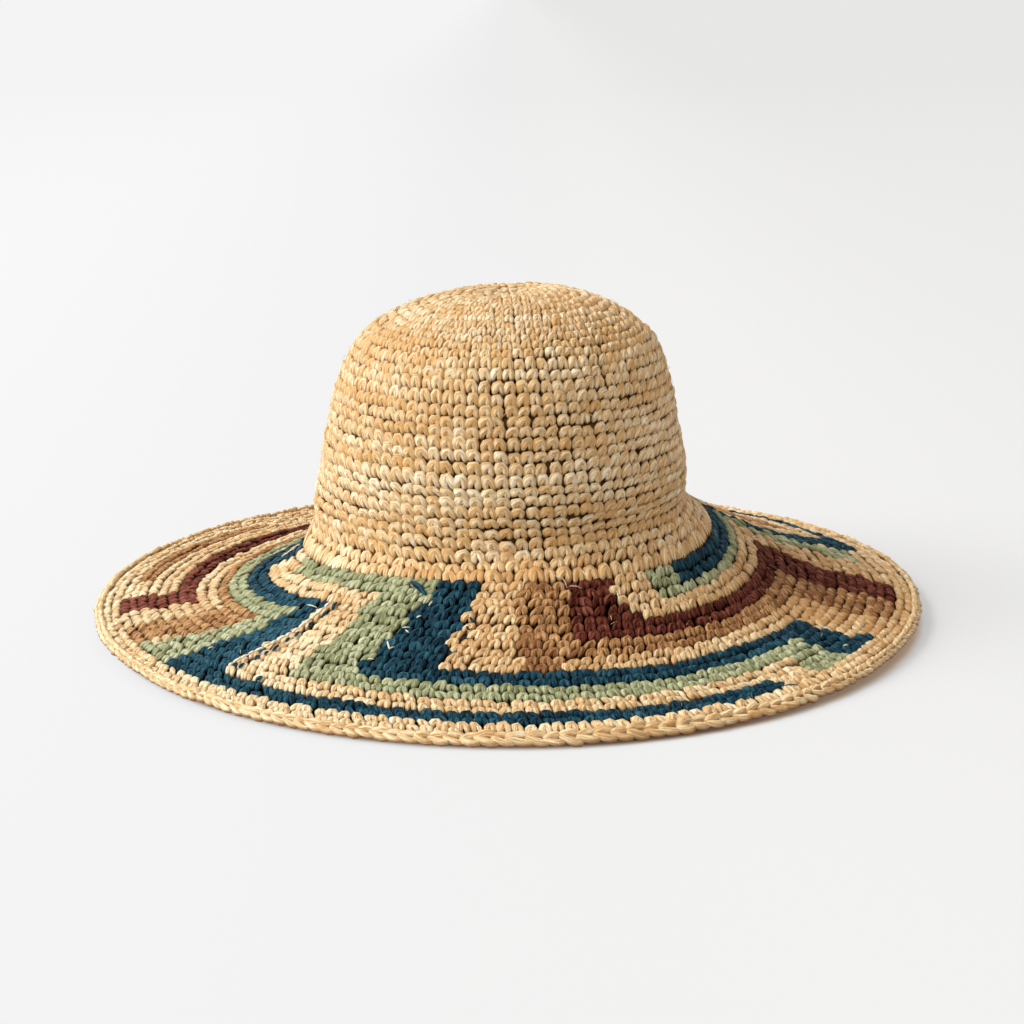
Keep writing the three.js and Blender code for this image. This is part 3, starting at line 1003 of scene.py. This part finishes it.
def sheet(name, way_edges, counts, columns):
    """A sheet on the inside of the straw, with a ridge for every round, and its faces' middles."""
    rounds = len(way_edges) - 1
    rows = rounds * GRID_ROWS
    bpy.ops.object.select_all(action="DESELECT")
    bpy.ops.mesh.primitive_grid_add(x_subdivisions=columns, y_subdivisions=rows, size=1)
    piece = bpy.context.object
    piece.name = piece.data.name = name
    flat = np.array([vertex.co for vertex in piece.data.vertices])
    azimuth = flat[:, 0] * 360
    # The grid's first and last lines lie on the rims, the next ones half a step from them
    step = np.rint((0.5 - flat[:, 1]) * rows)
    place = np.where(step > rows - 1, rounds, (step - 0.5) * rounds / (rows - 1))
    place = np.where(step < 1, 0, place)
    way = np.interp(place, np.arange(rounds + 1), way_edges)
    depth = SHEET_DEPTH - RIDGE * np.cos(2 * math.pi * place)
    positions = on_straw(azimuth, way, depth) * MM
    piece.data.vertices.foreach_set("co", positions.astype(np.float32).ravel())
    # Each face corner knows its stitch and its round, both counted in whole numbers
    stitch = np.array(counts)[np.clip(place.astype(int), 0, rounds - 1)] * (azimuth + 180) / 360
    cloth = np.stack([stitch, place, 0 * place], 1)
    corners = np.zeros(len(piece.data.loops), int)
    piece.data.loops.foreach_get("vertex_index", corners)
    layer = piece.data.attributes.new("cloth", "FLOAT_VECTOR", "CORNER")
    layer.data.foreach_set("vector", cloth[corners].astype(np.float32).ravel())
    faces = [list(face.vertices) for face in piece.data.polygons]
    middles = np.array([(azimuth[face].mean(), place[face].mean()) for face in faces])
    bpy.ops.object.mode_set(mode="EDIT")
    bpy.ops.mesh.select_all(action="SELECT")
    bpy.ops.mesh.remove_doubles(threshold=0.02 * MM)
    bpy.ops.mesh.normals_make_consistent(inside=False)
    bpy.ops.object.mode_set(mode="OBJECT")
    return piece, middles


def thickened(piece, inner):
    """Give a sheet its thickness. Its inner faces and rims take the materials from inner on."""
    thicken = piece.modifiers.new("thickness", "SOLIDIFY")
    thicken.thickness = 0.8 * MM
    thicken.offset = -1
    thicken.material_offset = thicken.material_offset_rim = inner
    bpy.ops.object.select_all(action="DESELECT")
    piece.select_set(True)
    bpy.context.view_layer.objects.active = piece
    bpy.ops.object.modifier_apply(modifier=thicken.name)
    bpy.ops.object.shade_smooth()
    print(piece.name, "has", len(piece.data.polygons), "faces")


# %% The inside of the crown and the underside of the brim
crown_inside, _ = sheet("crown_inside", CROWN_EDGES, [crown_count(n) for n in range(CROWN_ROUNDS)], 160)
thickened(crown_inside, 1)

UNDERSIDE_END = 1.985
brim_numbers = range(FIRST_ROUND, LAST_ROUND + 1)
brim_edges = [1 + round_edge(number) for number in brim_numbers]
brim_counts = [brim_count(way) for way in brim_edges]
brim_underside, face_places = sheet("brim_underside", brim_edges + [UNDERSIDE_END], brim_counts, 240)
face_yarns = np.zeros(len(face_places), int)
for step, number in enumerate(brim_numbers):
    here = np.floor(face_places[:, 1]).astype(int) == step
    face_yarns[here] = charted(face_places[here, 0], number)
brim_underside.data.polygons.foreach_set("material_index", face_yarns.astype(np.int32))
thickened(brim_underside, len(YARNS))

# %% [markdown]
# ## Raffia
# Raffia is a dried leaf: smooth and a little glossy, with fine grooves along the strand
# and colour that drifts from pale to honey. One flat colour would look like plastic, so
# each yarn has four: dark, middle, light and bleached. Two effects are shared by all the
# yarns. The first draws fibres along the strand, from the strand attribute. The second
# mixes a yarn's colours by the tone, the fibres and the lift. Through the lift it paints
# shade, with a little dust, in the dark colour on the feet of a stitch, while the proud
# top keeps the yarn's own colours.


# %% Small tools for node groups
def new_group(name, inputs, outputs):
    """A shader node group with named sockets. inputs are {name: (kind, value)}, outputs {name: kind}."""
    group = bpy.data.node_groups.new(name, "ShaderNodeTree")
    for label, (kind, value) in inputs.items():
        socket = group.interface.new_socket(label, in_out="INPUT", socket_type="NodeSocket" + kind)
        if value is not None:
            socket.default_value = value
    for label, kind in outputs.items():
        group.interface.new_socket(label, in_out="OUTPUT", socket_type="NodeSocket" + kind)
    return group, group.nodes.new("NodeGroupInput"), group.nodes.new("NodeGroupOutput")


def node(tree, kind, inputs=None, **settings):
    """A node with its settings made and its inputs set or linked."""
    made = tree.nodes.new("ShaderNode" + kind)
    for setting, value in settings.items():
        setattr(made, setting, value)
    for socket, value in (inputs or {}).items():
        if isinstance(value, bpy.types.NodeSocket):
            tree.links.new(value, made.inputs[socket])
        else:
            made.inputs[socket].default_value = value
    return made


def maths(tree, operation, *values):
    """A sum on numbers or sockets."""
    return node(tree, "Math", dict(enumerate(values)), operation=operation).outputs[0]


def ramp(tree, value, span, results=(0, 1), **settings):
    """A number that runs from one result to another while a value crosses a span."""
    ends = {"From Min": span[0], "From Max": span[1], "To Min": results[0], "To Max": results[1]}
    return node(tree, "MapRange", {"Value": value, **ends}, **settings).outputs[0]


def mixed_colour(tree, factor, first, second, **settings):
    """The colour between two others."""
    return node(tree, "Mix", {0: factor, 6: first, 7: second}, data_type="RGBA", **settings).outputs[2]


def stretched_noise(tree, place, scale, detail, roughness=0.5):
    """Noise with a scale of its own along each axis, so that it can run in streaks."""
    stretched = node(tree, "Mapping", {"Vector": place, "Scale": scale}).outputs[0]
    inputs = {"Vector": stretched, "Scale": 1.0, "Detail": detail, "Roughness": roughness}
    return node(tree, "TexNoise", inputs).outputs[0]


# %% Fibres along the strand
fibre_group, taken, given = new_group(
    "raffia_fibres", {"Strand": ("Vector", None)}, {"Streak": "Float", "Height": "Float"}
)
broad = stretched_noise(fibre_group, taken.outputs["Strand"], (1.1, 1.1, 0.12), 2.0)
fine = stretched_noise(fibre_group, taken.outputs["Strand"], (2.8, 2.8, 0.25), 3.0, 0.6)
fibres = maths(fibre_group, "ADD", broad, fine)
fibre_group.links.new(ramp(fibre_group, fibres, (0.8, 1.2)), given.inputs["Streak"])
fibre_group.links.new(fibres, given.inputs["Height"])
print(fibre_group.name, "has", len(fibre_group.nodes), "nodes")

# %% Colour of a yarn
COLOURS = ("Dark", "Middle", "Light", "Bleached")
colour_group, taken, given = new_group(
    "yarn_colour",
    {
        **{label: ("Color", (0.5, 0.5, 0.5, 1)) for label in COLOURS},
        **{label: ("Float", 0.5) for label in ("Tone", "Streak", "Lift")},
    },
    {"Colour": "Color"},
)
dark, middle, light, bleached, tone, streak, lift = taken.outputs[:7]
# Beyond 1 the paleness goes past the light colour, and on towards the bleached one
from_tone = maths(colour_group, "MULTIPLY_ADD", streak, 1.3, tone)
paleness = ramp(colour_group, from_tone, (0.65, 2.15), (0, 1.5))
base = mixed_colour(colour_group, paleness, middle, light, clamp_factor=False)
base = mixed_colour(colour_group, ramp(colour_group, paleness, (0.9, 1.5), (0, 0.6)), base, bleached)
# The lift paints shade, with a little dust: the feet of a stitch, deep in the cloth, take the dark colour
with_painted_shade = mixed_colour(colour_group, ramp(colour_group, lift, (0.15, 0.72)), dark, base)
colour_group.links.new(with_painted_shade, given.inputs["Colour"])
print(colour_group.name, "has", len(colour_group.nodes), "nodes")


# %% The material of a yarn
def new_material(name):
    """A material, its tree and its shader."""
    material = bpy.data.materials.new(name)
    material.use_nodes = True
    return material, material.node_tree, material.node_tree.nodes["Principled BSDF"]


def attribute(tree, name, output="Fac"):
    """A number or vector that the mesh brings along."""
    return node(tree, "Attribute", attribute_name=name).outputs[output]


def yarn_colour(tree, colours, tone, streak, lift):
    """The shared colour effect, with one yarn's colours in linear red, green and blue."""
    inputs = {label: (*colour, 1) for label, colour in zip(COLOURS, colours)}
    inputs.update({"Tone": tone, "Streak": streak, "Lift": lift})
    return node(tree, "Group", inputs, node_tree=colour_group).outputs["Colour"]


def straw_material(name, colours, gloss):
    """Raffia of one dye lot."""
    material, tree, shader = new_material(name)
    fibres = node(tree, "Group", {"Strand": attribute(tree, "strand", "Vector")}, node_tree=fibre_group)
    streak, height = fibres.outputs
    colour = yarn_colour(tree, colours, attribute(tree, "tone"), streak, attribute(tree, "lift"))
    tree.links.new(colour, shader.inputs["Base Color"])
    tree.links.new(ramp(tree, streak, (0, 1), (0.68, 0.34)), shader.inputs["Roughness"])
    grooves = node(tree, "Bump", {"Height": height, "Strength": 1.0, "Distance": 0.9 * MM})
    tree.links.new(grooves.outputs[0], shader.inputs["Normal"])
    shader.inputs["Specular IOR Level"].default_value = gloss
    return material


# %% Six dye lots
# The pale straw is the natural yarn of the brim and its edge, which the sun has reached
# The first colour of each dye lot is painted shade, for the feet of the stitches
STRAWS = {
    "natural_straw": (
        (0.11, 0.034, 0.005), (0.66, 0.365, 0.115), (0.93, 0.77, 0.50), (0.97, 0.90, 0.78),
    ),
    "pale_straw": (
        (0.29, 0.12, 0.035), (0.61, 0.335, 0.12), (0.92, 0.72, 0.41), (0.97, 0.86, 0.70),
    ),
    "tan_straw": (
        (0.055, 0.016, 0.004), (0.235, 0.09, 0.028), (0.61, 0.345, 0.14), (0.80, 0.51, 0.28),
    ),
    "brown_straw": (
        (0.008, 0.0015, 0.0006), (0.044, 0.0075, 0.0035), (0.22, 0.06, 0.036), (0.38, 0.15, 0.11),
    ),
    "green_straw": (
        (0.03, 0.03, 0.008), (0.215, 0.235, 0.10), (0.51, 0.53, 0.315), (0.66, 0.69, 0.48),
    ),
    "navy_straw": (
        (0.0003, 0.0015, 0.004), (0.001, 0.012, 0.025), (0.018, 0.09, 0.13), (0.07, 0.16, 0.20),
    ),
}
GLOSS = {
    "natural_straw": 0.42,
    "pale_straw": 0.4,
    "tan_straw": 0.14,
    "brown_straw": 0.04,
    "green_straw": 0.18,
    "navy_straw": 0.08,
}
straws = {name: straw_material(name, colours, GLOSS[name]) for name, colours in STRAWS.items()}
print("materials:", *straws)

# %% [markdown]
# ## The cloth from behind
# On the back the straw lies flat in low bars, one to a stitch. The sheet knows its stitch
# and round numbers from an attribute, and a node group turns them into bars with grooves
# between. The brim's sheet has a material for each yarn, given to its faces by the chart.
# Its outer faces are painted shade, a darker copy of each yarn, which shows only as dark in the gaps.
# The grooves between the bars get painted shade too.

# %% Bars on the back of the cloth
bar_group, taken, given = new_group(
    "purl_bars", {"Cloth": ("Vector", None)}, {"Height": "Float", "Streak": "Float"}
)
parts = node(bar_group, "SeparateXYZ", {0: taken.outputs["Cloth"]})


def rounded_bars(place, power):
    """A hump for each whole number: a low power gives a flat top and narrow grooves."""
    wave = maths(bar_group, "SINE", maths(bar_group, "MULTIPLY", place, math.pi))
    return maths(bar_group, "POWER", maths(bar_group, "ABSOLUTE", wave), power)


bar = maths(bar_group, "MULTIPLY", rounded_bars(parts.outputs[0], 0.6), rounded_bars(parts.outputs[1], 0.4))
grain = stretched_noise(bar_group, taken.outputs["Cloth"], (1.2, 9.0, 1.0), 3.0)
bar_group.links.new(maths(bar_group, "MULTIPLY_ADD", grain, 0.35, bar), given.inputs["Height"])
bar_group.links.new(grain, given.inputs["Streak"])
print(bar_group.name, "has", len(bar_group.nodes), "nodes")


# %% Backs, and the painted shade for the gaps
BACK_TONE = 0.65
BACK_GLOSS = 0.3
BACK_BLEACHED = (0.9, 0.8, 0.6)


def back_material(name, dark, middle, light, gloss):
    """The back of the cloth in one yarn."""
    material, tree, shader = new_material(name)
    bars = node(tree, "Group", {"Cloth": attribute(tree, "cloth", "Vector")}, node_tree=bar_group)
    height, streak = bars.outputs
    # The bar height goes in as the lift, which paints shade in the grooves between the bars
    colour = yarn_colour(tree, (dark, middle, light, BACK_BLEACHED), BACK_TONE, streak, height)
    tree.links.new(colour, shader.inputs["Base Color"])
    raised = node(tree, "Bump", {"Height": height, "Strength": 1.0, "Distance": 1.2 * MM})
    tree.links.new(raised.outputs[0], shader.inputs["Normal"])
    shader.inputs["Roughness"].default_value = 0.65
    shader.inputs["Specular IOR Level"].default_value = gloss
    return material


backs = []
painted_gap_shades = []
for yarn in YARNS:
    dark, middle, light = np.array(STRAWS[f"{yarn}_straw"][:3])
    backs.append(back_material(f"{yarn}_back", dark, middle, light, BACK_GLOSS))
    # The outer faces take a darker copy of each yarn: painted shade, seen in the gaps
    painted_gap_shades.append(back_material(f"{yarn}_painted_gap_shade", dark * 0.3, dark * 0.8, middle * 0.25, 0.0))
print("materials:", *(material.name for material in backs + painted_gap_shades))

# %% Dress the pieces
DRESS = [
    (crown_top, [straws["natural_straw"]], "natural_straw"),
    (crown_side, [straws["natural_straw"]], "natural_straw"),
    (brim_pieces["natural"], [straws["pale_straw"]], "natural_straw"),
    (brim_pieces["tan"], [straws["tan_straw"]], "tan_straw"),
    (brim_pieces["brown"], [straws["brown_straw"]], "brown_straw"),
    (brim_pieces["green"], [straws["green_straw"]], "green_straw"),
    (brim_pieces["navy"], [straws["navy_straw"]], "navy_straw"),
    (edge_chain, [straws["pale_straw"]], "natural_straw"),
    (pale_straws, [straws["natural_straw"]], "natural_straw"),
    (navy_straws, [straws["navy_straw"]], "navy_straw"),
    (fuzz, [straws["natural_straw"]], "natural_straw"),
    (crown_inside, [painted_gap_shades[0], backs[0]], "natural_straw"),
    (brim_underside, painted_gap_shades + backs, "patterned_straw"),
]
for piece, materials, slot in DRESS:
    for material in materials:
        piece.data.materials.append(material)
    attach(piece, "root")
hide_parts("crown")
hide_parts("brim")
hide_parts("rolled_edge")
print(len(DRESS), "pieces are dressed")

# %% [markdown]
# ## The floor
# The photo is a plain studio shot on a near-white floor that runs out of the picture. It
# is lit so evenly that the hat throws almost no shadow on the left, a soft one on the
# right, and a narrow warm one where it touches the floor. Many lamps and white walls
# could give that light. A single lamp is simpler to steer, so the floor itself makes up
# for the rest: it glows a little, as if lit by light that the studio throws back. Most
# of that glow is on the left. It stops under the hat, where no such light comes, and
# there the straw above tints it warm.

# %% Floor
bpy.context.scene.view_settings.view_transform = "Standard"
bpy.ops.mesh.primitive_plane_add(size=90, location=(0, 0, 0))
floor = bpy.context.object
floor.name = "floor"
floor_paint, tree, paint = new_material("floor_paint")
place = node(tree, "TexCoord").outputs["Object"]
across, deep, _ = node(tree, "SeparateXYZ", {0: place}).outputs
SMOOTH = {"interpolation_type": "SMOOTHSTEP"}


def scaled(colour, factor):
    """A colour made lighter or darker by a factor."""
    return node(tree, "VectorMath", {0: colour, 3: factor}, operation="SCALE").outputs[0]


# %% The floor's colour, with painted shade: a little darker towards the right and far behind
LEFT_GREY, RIGHT_GREY = (0.398, 0.402, 0.402, 1), (0.338, 0.342, 0.342, 1)
grey = mixed_colour(tree, ramp(tree, across, (-0.7, 0.7), **SMOOTH), LEFT_GREY, RIGHT_GREY)
grey = scaled(grey, ramp(tree, deep, (0.3, 5), (1, 0.95)))

# %% Where the floor is clear of the hat
BRIM_CENTRE = (0.0022, -0.0035, 0)
HAT_SHADE = (0.2018, 0.2078)
WARM_SHADE, PLAIN = (1.0, 0.75, 0.55, 1), (1, 1, 1, 1)
from_hat = node(tree, "VectorMath", {0: place, 1: BRIM_CENTRE}, operation="DISTANCE").outputs["Value"]
clear = ramp(tree, from_hat, HAT_SHADE, **SMOOTH)
warmed = mixed_colour(tree, clear, WARM_SHADE, PLAIN)
tint = node(tree, "VectorMath", {0: grey, 1: warmed}, operation="MULTIPLY").outputs[0]

# %% The share of the lamp's light, and the glow that makes up for the rest
lit = ramp(tree, across, (-0.1, 0.22), (0.3, 1.0), **SMOOTH)
glow_in_the_open = ramp(tree, lit, (0, 1), (2.33, 1.0))
glow_under_hat = ramp(tree, across, (0.08, 0.19), (0.14, 0.65))
share = ramp(tree, clear, (0, 1), (glow_under_hat, 1.0))
tree.links.new(scaled(tint, lit), paint.inputs["Base Color"])
tree.links.new(tint, paint.inputs["Emission Color"])
tree.links.new(maths(tree, "MULTIPLY", glow_in_the_open, share), paint.inputs["Emission Strength"])
paint.inputs["Roughness"].default_value = 0.8
paint.inputs["Specular IOR Level"].default_value = 0.0
floor.data.materials.append(floor_paint)
print(floor_paint.name, "has", len(tree.nodes), "nodes")

# %% [markdown]
# ## The light
# A large soft lamp stands high on the left and leaves the right side of the crown darker.
# A sun lamp with a wide angle does this with the same strength everywhere, and needs no
# place. Everything else is the sky: white on the left, and a warm grey on the right.

# %% Sky
SKY_LEFT, SKY_RIGHT = (1.0, 1.0, 1.0, 1), (0.46, 0.40, 0.345, 1)
world = bpy.data.worlds.new("studio")
bpy.context.scene.world = world
world.use_nodes = True
sky = world.node_tree.nodes["Background"]
sky_place = node(world.node_tree, "TexCoord").outputs["Generated"]
sky_across = node(world.node_tree, "SeparateXYZ", {0: sky_place}).outputs[0]
sky_colour = mixed_colour(world.node_tree, ramp(world.node_tree, sky_across, (-1, 1)), SKY_LEFT, SKY_RIGHT)
world.node_tree.links.new(sky_colour, sky.inputs["Color"])
sky.inputs["Strength"].default_value = 1.13

# %% Lamp
LAMP_AZIMUTH, LAMP_HEIGHT = math.radians(-84), math.radians(38)
on_floor = Vector((math.sin(LAMP_AZIMUTH), -math.cos(LAMP_AZIMUTH), 0))
to_lamp = on_floor * math.cos(LAMP_HEIGHT) + Vector((0, 0, math.sin(LAMP_HEIGHT)))
bpy.ops.object.light_add(type="SUN", rotation=(-to_lamp).to_track_quat("-Z", "Y").to_euler())
lamp = bpy.context.object
lamp.name = "key_light"
lamp.data.energy = 3.5
lamp.data.angle = math.radians(40)
lamp.data.color = (1.0, 0.99, 0.98)
